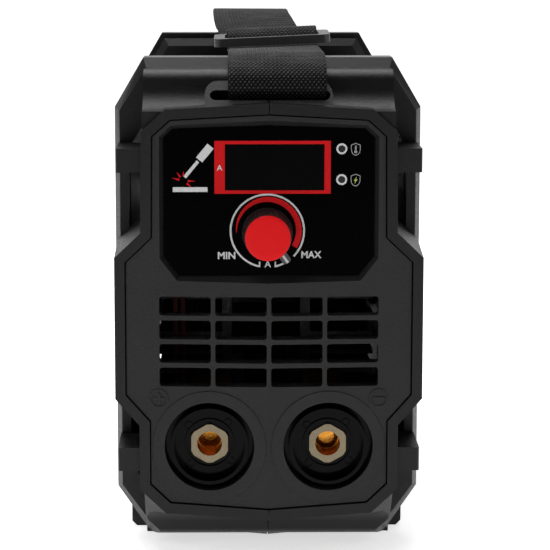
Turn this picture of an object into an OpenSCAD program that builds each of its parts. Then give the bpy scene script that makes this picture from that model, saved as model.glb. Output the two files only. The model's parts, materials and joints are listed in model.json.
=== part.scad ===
// Compact stick welding inverter: two moulded half shells clamp a front and a rear panel
// around a fan-cooled power board, with a webbing carry strap over the top.
// Millimetres, +X to the right seen from the front, +Y to the back, +Z up.
// The origin is at the centre of the bounding box, on the surface that the feet stand on.
// "Depth" is measured backwards from the plane of the front rim.

/* [Housing] */
// Depth of the housing from front rim to rear rim
body_depth = 268; // [256:1:280]
// Half width of the two bumper ridges
ridge_x = 59; // [58.5:0.1:61]
// Height of the top of the bumper ridges
ridge_z = 191; // [190:0.5:194]
// Thickness of the moulded walls
wall = 2.5; // [2:0.1:3]
// How far the fold down the middle of each end stands out
fold = 3; // [2:0.1:3.5]
// Width of the visible rim around each panel
rim_w = 3.9; // [3.5:0.1:4.2]
// Gap between the two half shells at the seam
seam = 0.3; // [0.2:0.05:0.5]

/* [Front panel] */
// Distance between the two output sockets
socket_pitch = 45; // [44:0.5:46]
// Radius of the socket bore that takes the cable plug's pin
socket_bore_r = 4.7; // [4.5:0.05:4.8]
// Width of one cooling slot
slot_w = 19.4; // [17:0.1:20]
// Height of one cooling slot
slot_h = 7.2; // [6:0.1:7.4]
// Height of the knob's centre
knob_z = 126.8; // [125:0.1:128]

/* [Strap] */
// Width of the webbing
strap_w = 37; // [36:0.5:38]
// Thickness of the webbing
strap_t = 1.6; // [1.2:0.1:1.8]

/* [Rear panel] */
// Side of the square cooling fan
fan_size = 80; // [80:80]
// Radius of the mains cable that the gland takes
cable_r = 4.5; // [4:0.25:5]

/* [Hidden] */
$fn = 64;

// Depth planes of the housing
knob_front = -12.9;
knob_x = -0.6;
gland_out = 20;
front_y = -(body_depth + gland_out + knob_front) / 2;
panel_back = 5.2;
lip_back = 8.5;
cove_front = 3;
brow_depth = 25;
ridge_front = 29;
ridge_back = 42;
waist_front = 46;

// Half outlines, from the middle of the top round the right side to the middle of the bottom
rim_half = [[0, 175.7], [38.7, 173.4], [47.8, 165.1], [48.2, 127], [58.1, 117.5],
            [58.1, 63.5], [49, 53.3], [49, 28.7], [39, 19.3], [0, 16.9]];
neck_top = 172.4;
neck_bottom = 18.2;
neck_half = [[0, 188], [47.4, 188], [47.4, 3], [0, 3]];
brow_half = [[0, ridge_z - 4], [46.6, ridge_z - 4], [ridge_x - 2, 170.8],
             [ridge_x - 2, 23], [46.6, 8.6], [0, 5]];
ridge_half = [[0, ridge_z], [47.9, ridge_z], [ridge_x, 172], [ridge_x, 21.8], [47.9, 5.5], [0, 1.6]];
waist_half = [[0, 176], [44.5, 176], [56, 157], [56, 34], [45.5, 9], [0, 6]];
shoulder_front = [[46, 127], [48.2, 127], [58.1, 117.5], [58.1, 63.5], [49, 53.3], [46, 53.3]];
shoulder_back = [[46, 132], [48.2, 131.5], [58.1, 121.5], [58.1, 59.5], [49, 49.3], [46, 48.8]];
recess_half = [[0, 169], [36.7, 167.8], [41.5, 163.4], [41.5, 117.2], [34.6, 108.6], [0, 108.6]];
recess_floor = 3.4;
fascia_t = 1;
fascia_front = recess_floor - fascia_t;

// Cooling slots in the front panel
slot_pitch_x = 21.05;
slot_pitch_z = 9.06;
slot_top_z = 99.3;

// Display and indicator places on the fascia
window_x = 2.1;
window_z = 151.35;
window_size = [37.4, 17.7];
light_x = 27.2;
light_zs = [158.4, 146.8];

// Output sockets
socket_z = 45.3;
socket_hole_r = 17;
contact_front = 3.2;
bore_length = 10;
polarity_x = 41.6;
polarity_z = 63.8;

// Shell screws run across the body, feet and strap places
screw_depths = [86, 134, 184];
screw_zs = [16.5, 166];
screw_boss_x = 50.6;
foot_depths = [46, 192];
foot_length = 30;
foot_screw_x = 40;
pad_half_w = 24;
slot_slope = 46;
bar_depth = 21;
bar_z = 166;

// Inside
board_z = 27;
board_t = 1.6;
post_places = [[40, 54], [40, 210], [-40, 54], [-40, 210]];
heatsink_depths = [64, 134];
fan_z = 112;
fan_depth = 25;
fan_hole_pitch = 71.5;
fan_back = body_depth - lip_back + 2.8;
switch_x = -28;
gland_x = 28;
inlet_z = 46;
rocker_tilt = 10;
rocker_axis = body_depth - 3;

// ---------- outlines ----------
function unit(v) = v / norm(v);
function full_loop(half) = concat(half, [for (i = [len(half) - 2:-1:1]) [-half[i].x, half[i].y]]);

// A clockwise loop with every side moved inwards by w
function inset(loop, w) = [
    for (i = [0:len(loop) - 1])
        let (n = len(loop),
             u = unit(loop[i] - loop[(i + n - 1) % n]),
             v = unit(loop[(i + 1) % n] - loop[i]),
             nu = [u.y, -u.x],
             nv = [v.y, -v.x])
            loop[i] + w * (nu + nv) / (1 + nu * nv)
];

function rounded_rect(w, h, r, steps = 4) = [
    for (corner = [0:3], k = [0:steps])
        let (a = -90 * corner + 90 - 90 * k / steps,
             cx = (corner == 0 || corner == 1) ? w / 2 - r : r - w / 2,
             cz = (corner == 0 || corner == 3) ? h / 2 - r : r - h / 2)
            [cx + r * cos(a), cz + r * sin(a)]
];

rim_loop = full_loop(rim_half);
recess_loop = full_loop(recess_half);

ridge_loop = full_loop(ridge_half);
brow_loop = full_loop(brow_half);
waist_loop = full_loop(waist_half);

// The cove between rim and brow: a hollow curve off the rim, then a rounded edge onto a level ledge
cove_run = 18;
ledge_r = 6;
function cove_line(rise, steps = 7) =
    let (turn = 2 * atan(rise / cove_run),
         total = cove_run / sin(turn),
         r = total - ledge_r)
        concat([for (k = [0:steps]) let (a = turn * k / steps) [r * sin(a), r * (1 - cos(a))]],
               [for (k = [steps - 1:-1:0]) let (a = turn * k / steps)
                    [cove_run - ledge_r * sin(a), rise - ledge_r * (1 - cos(a))]]);

// ---------- placing ----------
// Draws a flat (x, z) shape as a solid between two depths
module along_y(d0, d1) {
    translate([0, front_y + d1, 0]) rotate([90, 0, 0]) linear_extrude(d1 - d0) children();
}

// Draws a flat (depth, z) shape as a solid between two x places
module along_x(x0, x1) {
    translate([x0, front_y, 0]) rotate([90, 0, 90]) linear_extrude(x1 - x0) children();
}

// Draws a flat (x, depth) shape as a solid between two heights
module along_z(z0, z1) {
    translate([0, front_y, z0]) linear_extrude(z1 - z0) children();
}

module rod_y(x, z, d0, d1, r) {
    translate([x, front_y + d0, z]) rotate([-90, 0, 0]) cylinder(h = d1 - d0, r = r);
}

module rod_x(x0, x1, d, z, r) {
    translate([x0, front_y + d, z]) rotate([0, 90, 0]) cylinder(h = x1 - x0, r = r);
}

module rod_z(x, d, z0, z1, r) {
    translate([x, front_y + d, z0]) cylinder(h = z1 - z0, r = r);
}

module block(x0, x1, d0, d1, z0, z1) {
    translate([x0, front_y + d0, z0]) cube([x1 - x0, d1 - d0, z1 - z0]);
}

module hex_y(x, z, d0, d1, across_flats, turn = 30) {
    translate([x, front_y + d0, z]) rotate([-90, turn, 0])
        cylinder(h = d1 - d0, r = across_flats / 2 / cos(30), $fn = 6);
}

// Draws its children at the front end, and again turned round for the rear end
module both_ends() {
    children();
    at_rear() children();
}

// Mirrors a front end feature to the rear end
module at_rear() {
    translate([0, 2 * front_y + body_depth, 0]) mirror([0, 1, 0]) children();
}

// A closed skin through clockwise loops, each given with its depth; both ends close on a middle point
module loft(rings) {
    n = len(rings[0][1]);
    m = len(rings);
    middle_x = rings[0][1][n - 1].x > 0 ? 52 : 0;
    middle_z = rings[0][2] == undef ? 90 : rings[0][2];
    points = concat(
        [for (ring = rings, p = ring[1]) [p.x, front_y + ring[0], p.y]],
        [[middle_x, front_y + rings[0][0], middle_z], [middle_x, front_y + rings[m - 1][0], middle_z]]);
    sides = [
        for (j = [0:m - 2], i = [0:n - 1])
            let (a = j * n + i, b = j * n + (i + 1) % n)
                each [[b + n, b, a], [a + n, b + n, a]]
    ];
    ends = [
        for (i = [0:n - 1])
            let (k = (i + 1) % n)
                each [[i, k, m * n], [(m - 1) * n + k, (m - 1) * n + i, m * n + 1]]
    ];
    polyhedron(points, concat(sides, ends));
}

// Everything behind the folded front face, which is moved back by set_back
module behind_fold(set_back) {
    reach = 80;
    side = reach * fold / rim_half[4].x;
    along_z(-5, ridge_z + 20)
        polygon([[-reach, side - fold + set_back], [0, set_back - fold], [reach, side - fold + set_back],
                 [reach, 60], [-reach, 60]]);
}

// ---------- half shells ----------
// Bumper ridge with a sloping brow in front, and a step and a short slope behind
module ridge() {
    loft([[brow_depth, brow_loop], [ridge_front, ridge_loop], [ridge_back - 2, ridge_loop]]);
    loft([[ridge_front + 2, inset(ridge_loop, 2.5)], [ridge_back + 1.5, inset(ridge_loop, 2.5)],
          [waist_front, inset(ridge_loop, 6)]]);
}

// Everything between the rim and the ridge: coves at top and bottom, flat facets at the two lower corners
module neck() {
    difference() {
        intersection() {
            along_y(cove_front - 1, brow_depth + 2) polygon(full_loop(neck_half));
            along_x(-48, 48) polygon(concat(
                [[cove_front - 1, neck_bottom], [cove_front - 1, neck_top]],
                [for (p = cove_line(ridge_z - 4 - neck_top)) [cove_front + p.x, neck_top + p.y]],
                [[brow_depth + 2, ridge_z - 4], [brow_depth + 2, 5]],
                [for (i = [len(cove_line(neck_bottom - 5)) - 1:-1:0])
                    let (p = cove_line(neck_bottom - 5)[i]) [cove_front + p.x, neck_bottom - p.y]]));
        }
        for (side = [0, 1]) mirror([side, 0, 0])
            loft([[1, [[26, 7], [60, 39], [60, -10], [26, -10]], -5], [22, [[26, -9], [60, 15.8], [60, -14], [26, -14]], -5]]);
    }
}

module waist() {
    along_y(brow_depth + 1, body_depth - brow_depth - 1) polygon(waist_loop);
}

// Inside of the housing, which opens into both panel openings
module cavity() {
    along_y(brow_depth, body_depth - brow_depth) polygon(inset(waist_loop, wall));
    both_ends() {
        along_y(lip_back - 2, brow_depth + 1) translate([0, (neck_top + neck_bottom) / 2])
            square([2 * (47.4 - wall), neck_top - neck_bottom - 2 * wall], center = true);
        along_y(brow_depth + 5, ridge_back - wall) polygon(inset(ridge_loop, 3));
        along_y(lip_back - 1, ridge_front + 2) translate([0, 90.5])
            square([2 * (58.1 - wall), 47], center = true);
    }
}

module shoulders() {
    for (side = [0, 1]) mirror([side, 0, 0]) loft([[1, shoulder_front], [ridge_front, shoulder_back]]);
}

// Raised pad that carries the strap slot
module strap_pad() {
    intersection() {
        along_x(-pad_half_w, pad_half_w) polygon([[1, 168], [1, 173.6], [3, 173.6], [13.5, 184.5], [18, 184.5],
                                                  [18, 168]]);
        along_y(0, 19) translate([0, 175]) polygon(rounded_rect(2 * pad_half_w, 16, 4.5));
    }
}

// The mouth for the webbing, cut square to the pad's sloping face
module strap_mouth() {
    translate([0.5, front_y + 7.3, 178.1]) rotate([slot_slope, 0, 0]) translate([0, 0, -14])
        linear_extrude(20) polygon(rounded_rect(45.2, 4.8, 2.3));
}

// Ribs inside the shell that hold the strap's anchor bar
module bar_ribs() {
    for (x = [23.4, -26.4])
        along_x(x, x + 3) difference() {
            polygon([[14, 161], [14, 174], [27, 181], [27, 161]]);
            translate([bar_depth, bar_z]) circle(r = 2.02);
        }
}

// Blocks that bridge the cove between the rim and the ridge
module side_lugs() {
    for (side = [0, 1], z = [35, 149.5]) mirror([side, 0, 0])
        along_z(z, z + 9) polygon([[46.5, 2], [56.8, 2], [57.4, 2.6], [57.4, 30], [46.5, 30]]);
}

module rim_ring() {
    intersection() {
        along_y(-6, lip_back + 1) polygon(rim_loop);
        behind_fold(0);
    }
}

module panel_opening() {
    along_y(-6, panel_back) polygon(inset(rim_loop, rim_w));
    along_y(panel_back - 1, lip_back + 6) polygon(inset(rim_loop, rim_w + 2.6));
}

// Raised field on each side wall
module side_fields() {
    for (side = [0, 1]) mirror([side, 0, 0])
        along_x(54.5, 57.4) translate([134, 96]) polygon(
            [[-70, 30], [-58, 42], [58, 42], [70, 30], [70, -30], [58, -42], [-58, -42], [-70, -30]]);
}

// Two rows of shallow grooves in the raised field
module grooves() {
    for (side = [0, 1], k = [0:6]) mirror([side, 0, 0]) {
        along_x(56.4, 62) translate([160, 72 + 8 * k]) polygon(rounded_rect(56, 4.2, 2));
        along_x(56.4, 62) translate([96, 72 + 8 * k]) polygon(rounded_rect(44, 4.2, 2));
    }
}

// Tubes across the body that the shell screws run in
module screw_bosses() {
    for (d = screw_depths, z = screw_zs) rod_x(-screw_boss_x, screw_boss_x, d, z, 5.5);
}

module screw_holes(x0, x1, r) {
    for (d = screw_depths, z = screw_zs) rod_x(x0, x1, d, z, r);
}

module housing() {
    difference() {
        union() {
            difference() {
                union() {
                    waist();
                    both_ends() ridge();
                    both_ends() neck();
                    both_ends() rim_ring();
                    both_ends() shoulders();
                    both_ends() side_lugs();
                    both_ends() strap_pad();
                    side_fields();
                }
                cavity();
                both_ends() panel_opening();
            }
            both_ends() bar_ribs();
            for (p = post_places) rod_z(p.x, p.y, 9.6, board_z, 4);
            for (side = [-1, 1], d = foot_depths) rod_z(side * foot_screw_x, d + foot_length / 2, 10.5, 24, 4);
            screw_bosses();
        }
        both_ends() strap_mouth();
        grooves();
        for (p = post_places) rod_z(p.x, p.y, 19.2, board_z + 1, 1.55);
        for (side = [-1, 1], d = foot_depths) rod_z(side * foot_screw_x, d + foot_length / 2, 0, 18.6, 1.95);
        screw_holes(8, 62, 3.9);
        screw_holes(0, 9, 2.2);
        screw_holes(-14, 0, 1.95);
    }
}

module left_shell() {
    color("#2b2b2c") intersection() {
        housing();
        block(-80, -seam / 2, -10, body_depth + 10, -5, 210);
    }
}

module right_shell() {
    color("#2b2b2c") intersection() {
        housing();
        block(seam / 2, 80, -10, body_depth + 10, -5, 210);
    }
}

module shell_screws() {
    color("#8c8c90") for (d = screw_depths, z = screw_zs) difference() {
        union() {
            rod_x(-12, 8, d, z, 1.9);
            rod_x(8, 10.4, d, z, 3.5);
        }
        rod_x(9, 11, d, z, 1.2, $fn = 6);
    }
}

// ---------- feet ----------
module rubber_feet() {
    color("#151515") for (side = [0, 1], d = foot_depths) mirror([side, 0, 0]) difference() {
        along_y(d + 0.1, d + foot_length) polygon(
            [[34, 0], [52.5, 0], [54.5, 2], [54.5, 30.2], [45.6, 8.7], [34, 8]]);
        rod_z(foot_screw_x, d + foot_length / 2, -1, 20, 2.2);
        rod_z(foot_screw_x, d + foot_length / 2, -1, 3, 4.4);
    }
}

module foot_screws() {
    color("#8c8c90") for (side = [-1, 1], d = foot_depths) difference() {
        union() {
            rod_z(side * foot_screw_x, d + foot_length / 2, 3, 18.2, 1.9);
            rod_z(side * foot_screw_x, d + foot_length / 2, 1, 3, 3.9);
        }
        rod_z(side * foot_screw_x, d + foot_length / 2, 0, 2, 1.4, $fn = 6);
    }
}

// ---------- panels ----------
module panel_plate() {
    intersection() {
        along_y(-6, panel_back) polygon(inset(rim_loop, rim_w + 0.5));
        behind_fold(0.7);
    }
}

module cooling_slots(d0, d1) {
    for (i = [-1.5:1:1.5], k = [0:3])
        along_y(d0, d1) translate([i * slot_pitch_x, slot_top_z - k * slot_pitch_z])
            polygon(rounded_rect(slot_w, slot_h, 1.1));
}

// Raised circle with a plus or a minus in it
module polarity_mark(x, plus) {
    intersection() {
        difference() {
            rod_y(x, polarity_z, -6, 2, 3.65);
            rod_y(x, polarity_z, -7, 3, 3);
        }
        behind_fold(0.3);
    }
    intersection() {
        union() {
            block(x - 2.2, x + 2.2, -6, 2, polarity_z - 0.45, polarity_z + 0.45);
            if (plus) block(x - 0.45, x + 0.45, -6, 2, polarity_z - 2.2, polarity_z + 2.2);
        }
        behind_fold(0.3);
    }
}

board_post_places = [[36, 156], [-36, 156], [36, 114], [-36, 114]];

module front_panel() {
    color("#3a3a3b") difference() {
        union() {
            difference() {
                panel_plate();
                loft([[-6, inset(recess_loop, -2), 140], [recess_floor, inset(recess_loop, 2), 140]]);
            }
            for (side = [-1, 1]) intersection() {
                rod_y(side * socket_pitch / 2, socket_z, -6, panel_back, 21.4);
                behind_fold(0.25);
            }
            polarity_mark(-polarity_x, true);
            polarity_mark(polarity_x, false);
            for (p = board_post_places) rod_y(p.x, p.y, panel_back - 1, 14, 2.6);
        }
        cooling_slots(-7, 7);
        for (side = [-1, 1]) rod_y(side * socket_pitch / 2, socket_z, -7, 7, socket_hole_r);
        along_y(0, 7) translate([window_x, window_z]) square([window_size.x, window_size.y], center = true);
        for (z = light_zs) rod_y(light_x, z, 0, 7, 1.6);
        rod_y(knob_x, knob_z, 0, 7, 3.6);
        for (p = board_post_places) rod_y(p.x, p.y, 8, 15, 1.05);
    }
}

module display_fascia() {
    color("#050505") difference() {
        along_y(fascia_front, recess_floor) polygon(inset(recess_loop, 2.15));
        along_y(0, 7) translate([window_x, window_z]) square([window_size.x, window_size.y], center = true);
        for (z = light_zs) rod_y(light_x, z, 0, 7, 1.35);
        rod_y(knob_x, knob_z, 0, 7, 3.6);
    }
}

module display_window() {
    color("#101012") along_y(fascia_front + 0.15, recess_floor + 1.2) translate([window_x, window_z])
        square([window_size.x - 0.2, window_size.y - 0.2], center = true);
}

module indicator_lights() {
    color("#33383a") for (z = light_zs) {
        rod_y(light_x, z, fascia_front + 0.1, panel_back + 0.1, 1.25);
        rod_y(light_x, z, panel_back + 0.1, 8, 2);
        for (side = [-1, 1]) rod_y(light_x + side * 0.9, z, 8, 14, 0.3);
    }
}

module display_module() {
    color("#1a1a1c") difference() {
        along_y(panel_back + 0.1, 13.2) translate([window_x, window_z]) square([37.6, 19], center = true);
        // Seven-segment windows of three digits
        for (digit = [-1:1]) along_y(panel_back, panel_back + 0.6)
            translate([window_x + 12.2 * digit, window_z]) {
                for (z = [-6.2, 0, 6.2]) translate([0, z]) square([5.4, 1.3], center = true);
                for (x = [-3.5, 3.5], z = [-3.1, 3.1]) translate([x, z]) square([1.3, 4.4], center = true);
            }
    }
    color("silver") for (x = [-4:4], z = [-7.6, 7.6]) rod_y(window_x + 3.4 * x, window_z + z, 13.2, 14, 0.3);
}

module control_board() {
    color("#1d5a33") difference() {
        along_y(14, 15.6) translate([0, 134.2]) square([82, 52.4], center = true);
        for (p = board_post_places) rod_y(p.x, p.y, 13, 17, 1.3);
    }
}

module control_board_screws() {
    color("silver") for (p = board_post_places) {
        rod_y(p.x, p.y, 8.5, 15.6, 1);
        rod_y(p.x, p.y, 15.6, 17.2, 2.2);
    }
}

// ---------- current control ----------
module potentiometer() {
    color("#3b4a3d") difference() {
        union() {
            rod_y(knob_x, knob_z, 0.6, 6, 3.5);
            rod_y(knob_x, knob_z, panel_back, 13.2, 8);
            block(knob_x - 6, knob_x + 6, 9, 13.2, knob_z - 12.5, knob_z);
        }
        rod_y(knob_x, knob_z, 0, 12, 3.05);
    }
    color("silver") for (x = [-4, 0, 4]) rod_y(knob_x + x, knob_z - 11, 13.2, 14, 0.5);
}

module potentiometer_nut() {
    color("silver") difference() {
        hex_y(knob_x, knob_z, fascia_front - 1.8, fascia_front, 10);
        rod_y(knob_x, knob_z, -1, 4, 3.5);
    }
}

module knob_shaft() {
    color("silver") difference() {
        rod_y(knob_x, knob_z, -10, 11.5, 3);
        block(knob_x - 0.5, knob_x + 0.5, -11, -5, knob_z - 4, knob_z + 4);
    }
}

knurls = 56;
function knurl_loop(r) = [
    for (i = [2 * knurls - 1:-1:0])
        let (a = 180 * i / knurls) (r - (i % 2) * 0.32) * [cos(a), sin(a)]
];

// Direction of the pointer at rest, at the top of the scale, from straight down
pointer_angle = 35;

module current_knob() {
    color("#1c1c1d") difference() {
        union() {
            along_y(knob_front + 1.2, 1.4) translate([knob_x, knob_z]) polygon(knurl_loop(9.3));
            translate([knob_x, front_y, knob_z]) rotate([0, -pointer_angle, 0])
                translate([-1.7, -0.8, -13.6]) cube([3.4, 2, 6]);
        }
        rod_y(knob_x, knob_z, -10, 2, 3);
        rod_y(knob_x, knob_z, -2.4, 2, 6.8);
    }
}

module knob_cap() {
    color("#c8161d") translate([knob_x, front_y + knob_front, knob_z]) rotate([-90, 0, 0]) union() {
        cylinder(h = 0.5, r1 = 8, r2 = 8.45);
        translate([0, 0, 0.5]) cylinder(h = 0.7, r = 8.45);
    }
}

module knob_pointer_mark() {
    color("white") translate([knob_x, front_y, knob_z]) rotate([0, -pointer_angle, 0])
        translate([-0.45, -1.05, -13.4]) cube([0.9, 0.25, 3.6]);
}

// ---------- output sockets ----------
module socket_body(side) {
    x = side * socket_pitch / 2;
    color("#060606") difference() {
        union() {
            rod_y(x, socket_z, 4.6, 6.2, 16.6);
            rod_y(x, socket_z, -1.4, 6.2, 14.8);
            rod_y(x, socket_z, panel_back + 0.1, 9, 19);
            rod_y(x, socket_z, 9, 22, 9.4);
        }
        rod_y(x, socket_z, -3, 4.4, 13.4);
        hex_y(x, socket_z, 3, 10, 14.2);
        rod_y(x, socket_z, 3, 23, 6.9);
    }
    color("#060606") {
        difference() {
            rod_y(x, socket_z, 3.4, 4.4, 9.6);
            rod_y(x, socket_z, 3, 5, 8.8);
        }
        for (a = [45:90:315]) difference() {
            rod_y(x + 10.5 * cos(a + 4), socket_z + 10.5 * sin(a + 4), 3.9, 4.4, 1.6);
            rod_y(x + 10.5 * cos(a + 4), socket_z + 10.5 * sin(a + 4), 3, 5, 1.15);
        }
    }
}

module positive_socket_body() { socket_body(-1); }
module negative_socket_body() { socket_body(1); }

// Brass contact: a chamfered hexagon, the plug's bore, and a tail tapped for the clamp bolt
module socket_contact(side) {
    x = side * socket_pitch / 2;
    color("#b98a3c") difference() {
        union() {
            intersection() {
                hex_y(x, socket_z, contact_front, 9.8, 14);
                translate([x, front_y + contact_front, socket_z]) rotate([-90, 0, 0])
                    cylinder(h = 8, r1 = 7.5, r2 = 11.5);
            }
            rod_y(x, socket_z, 9, 34, 6.8);
        }
        rod_y(x, socket_z, contact_front - 1, contact_front + bore_length, socket_bore_r);
        rod_y(x, socket_z, contact_front + bore_length - 0.1, 25, socket_bore_r - 0.25);
        rod_y(x, socket_z, 24, 35, 3.1);
    }
}

module positive_socket_contact() { socket_contact(-1); }
module negative_socket_contact() { socket_contact(1); }

module socket_bolts() {
    color("#b98a3c") for (side = [-1, 1]) {
        x = side * socket_pitch / 2;
        rod_y(x, socket_z, side > 0 ? 15 : 20, 36.2, 3);
        hex_y(x, socket_z, 36.2, 40.2, 10);
    }
}

module busbar(side, far_depth) {
    x = side * socket_pitch / 2;
    color("#b06a3a") difference() {
        along_x(x - 8, x + 8) polygon([[34.1, 34], [36.1, 34], [36.1, 60], [far_depth, 60],
                                       [far_depth, 62], [34.1, 62]]);
        rod_y(x, socket_z, 33, 38, 3.1);
    }
}

module positive_busbar() { busbar(-1, heatsink_depths[0] - 0.5); }
module negative_busbar() { busbar(1, heatsink_depths[0] - 0.5); }

// ---------- carry strap ----------
// Route of the webbing's middle from the front anchor bar to the rear one: depth, height, sideways
// shift, then how far it is turned in plan and tipped sideways, in degrees
strap_route = [
    [18.8, 167, 3.2, 0, 0], [16, 169.7, 3.2, 0, 0], [13, 172.6, 3.2, 0, 0], [10, 175.5, 3.2, 0, 0],
    [7.3, 178.1, 3.2, 0, 0], [5.9, 180, 3.2, 0, 0], [5.8, 182.4, 3.2, 0, 0],
    [7.6, 185.8, 3.2, 0, 0], [12, 189.2, 3.2, 0, 0], [18.5, 191.4, 3.2, 0, 0],
    [26, 192.2, 3.2, 0, 0], [34, 192.3, 3.2, 0, 0], [44, 192.2, 3.2, 0, 0], [60, 192, 3.1, 0, 1],
    [72, 191.8, 2.9, 0, 2.2], [77.3, 191.7, 2.8, 0, 2.6], [80.5, 191.8, 2.7, 0, 2.6],
    [82.8, 192.9, 2.7, 0, 2.6], [85.2, 196.6, 2.7, 0, 2.6], [87.4, 198.4, 2.7, 0, 2.6],
    [89.6, 199.1, 2.7, 0, 2.6], [91.8, 198.6, 2.6, 0, 2.6], [94, 197, 2.5, 0, 2.6],
    [96.8, 193.5, 2.4, 0, 2.6], [99.1, 192.4, 2.2, 1, 2.6], [102.3, 192.2, 1.8, 4, 2.4],
    [106, 192.6, 1, 8, 2], [112, 194.6, -0.8, 16, 1.2], [122, 198, -2.6, 21, 0.4],
    [140, 201.8, -4.4, 24, 0], [162, 203.6, -5.2, 25, -1], [184, 203.6, -5.2, 22, -1],
    [202, 201.6, -4.8, 16, 0], [216, 197.6, -4, 9, 0], [226, 194.4, -3.2, 3, 0],
    [234, 192.6, -2.6, 0, 0], [242, 192.2, -2.2, 0, 0], [249.5, 191.4, -2.2, 0, 0],
    [256, 189.2, -2.2, 0, 0], [260.4, 185.8, -2.2, 0, 0], [262.2, 182.4, -2.2, 0, 0],
    [262.1, 180, -2.2, 0, 0], [260.7, 178.1, -2.2, 0, 0], [258, 175.5, -2.2, 0, 0],
    [255, 172.6, -2.2, 0, 0], [252, 169.7, -2.2, 0, 0], [249.2, 167, -2.2, 0, 0],
];

// Four corners of the webbing's section at one point of its route
function strap_section(i) =
    let (p = strap_route[i],
         a = strap_route[max(i - 1, 0)],
         b = strap_route[min(i + 1, len(strap_route) - 1)],
         across = [cos(p[3]) * cos(p[4]), sin(p[3]) * cos(p[4]), sin(p[4])],
         up = unit(cross(across, [0, b.x - a.x, b.y - a.y])),
         middle = [p.z, front_y + p.x, p.y],
         w = across * strap_w / 2,
         t = up * strap_t / 2)
        [middle - w - t, middle - w + t, middle + w + t, middle + w - t];

module carry_strap() {
    m = len(strap_route);
    sides = [
        for (j = [0:m - 2], i = [0:3])
            let (a = j * 4 + i, b = j * 4 + (i + 1) % 4)
                each [[b + 4, b, a], [a + 4, b + 4, a]]
    ];
    color("#1a1a1a") {
        polyhedron([for (i = [0:m - 1]) each strap_section(i)],
                   concat([[0, 1, 2, 3]], sides, [[for (i = [3:-1:0]) (m - 1) * 4 + i]]));
        for (end = [0, 1]) translate([strap_route[end * (m - 1)].z, front_y + (end == 0 ? bar_depth
                                      : body_depth - bar_depth), bar_z]) rotate([0, 90, 0]) difference() {
            cylinder(h = strap_w, r = 3.6, center = true);
            cylinder(h = strap_w + 2, r = 2.02, center = true);
        }
    }
}

module strap_bars() {
    color("silver") both_ends() rod_x(-26.4, 26.4, bar_depth, bar_z, 2);
}

slider_depth = 89.7;
slider_z = 195.2;
slider_x = 2.7;
slider_tilt = 2;
slider_roll = 2.6;

// Three-bar slider: the webbing runs under the front bar, over the middle one and under the rear one
module strap_slider() {
    color("#3c3c3d") translate([slider_x, front_y + slider_depth, slider_z]) rotate([slider_tilt, -slider_roll, 0]) {
        difference() {
            translate([0, 0, -1.7]) linear_extrude(3.4) polygon(rounded_rect(47.6, 25, 3));
            for (side = [-1, 1]) translate([0, side * 5.6, -3]) linear_extrude(6)
                polygon(rounded_rect(strap_w + 1.6, 7, 0.8));
            translate([-strap_w / 2 - 0.8, -3, 0]) cube([strap_w + 1.6, 6, 3]);
        }
    }
}

// ---------- power electronics ----------
module main_board() {
    color("#1d5a33") difference() {
        block(-46, 46, 48, 216, board_z, board_z + board_t);
        for (p = post_places) rod_z(p.x, p.y, board_z - 1, board_z + 3, 1.9);
    }
}

module board_screws() {
    color("silver") for (p = post_places) {
        rod_z(p.x, p.y, 19.6, board_z + board_t, 1.5);
        rod_z(p.x, p.y, board_z + board_t, board_z + board_t + 2, 2.9);
    }
}

module heatsink(side) {
    top = 100;
    foot = board_z + board_t;
    color("#a9acb0") mirror([side < 0 ? 1 : 0, 0, 0]) {
        along_y(heatsink_depths[0], heatsink_depths[1]) union() {
            translate([14, foot]) square([4, top - foot]);
            for (k = [0:9]) translate([17.9, foot + k * 7.7]) square([26, 1.7]);
        }
    }
}

module left_heatsink() { heatsink(-1); }
module right_heatsink() { heatsink(1); }

// Four flat power packages screwed to a heatsink's inner face, with their legs in the board
module power_packages(side) {
    for (k = [0:3]) mirror([side < 0 ? 1 : 0, 0, 0]) {
        d = heatsink_depths[0] + 9 + 17.4 * k;
        block(9, 14, d - 7.9, d + 7.9, board_z + 12, board_z + 33);
        for (x = [-1, 0, 1]) block(11, 12, d + 5.4 * x - 0.6, d + 5.4 * x + 0.6, board_z + board_t, board_z + 12);
    }
}

module power_transistors() { color("#222222") power_packages(-1); }
module output_diodes() { color("#222222") power_packages(1); }

module transformer_core() {
    color("#3f3f42") difference() {
        block(-21, 21, 144, 164, board_z + board_t + 3, board_z + board_t + 45);
        for (side = [-1, 1]) block(side * 10.6 - 4.6, side * 10.6 + 4.6, 143, 165, board_z + 11, board_z + 39);
    }
}

module transformer_winding() {
    color("#c9a227") difference() {
        block(-15, 15, 138, 170, board_z + 11.2, board_z + 38.8);
        block(-6.02, 6.02, 143.98, 164.02, board_z + 10, board_z + 40);
    }
}

module filter_capacitors() {
    color("#1d2c4d") for (x = [-29, 0, 29]) rod_z(x, 192, board_z + board_t, board_z + 46, 12.5);
}

module bridge_rectifier() {
    color("#222222") difference() {
        block(-34, -6, 172.5, 178.5, board_z + board_t, board_z + 30);
        rod_y(-20, board_z + 20, 172, 179, 2.5);
    }
}

module start_relay() {
    color("#2244aa") block(7, 35, 48.5, 60, board_z + board_t, board_z + 20);
}

// Twin lead from the main board up to the control board
module relay_lead() {
    color("#b02020") for (x = [-37, -34]) along_x(x, x + 1.6)
        polygon([[16, 118], [20, 118], [58, 60], [58, board_z + board_t], [56.2, board_z + board_t],
                 [56.2, 59.4], [19, 116.2], [16, 116.2]]);
}

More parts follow.
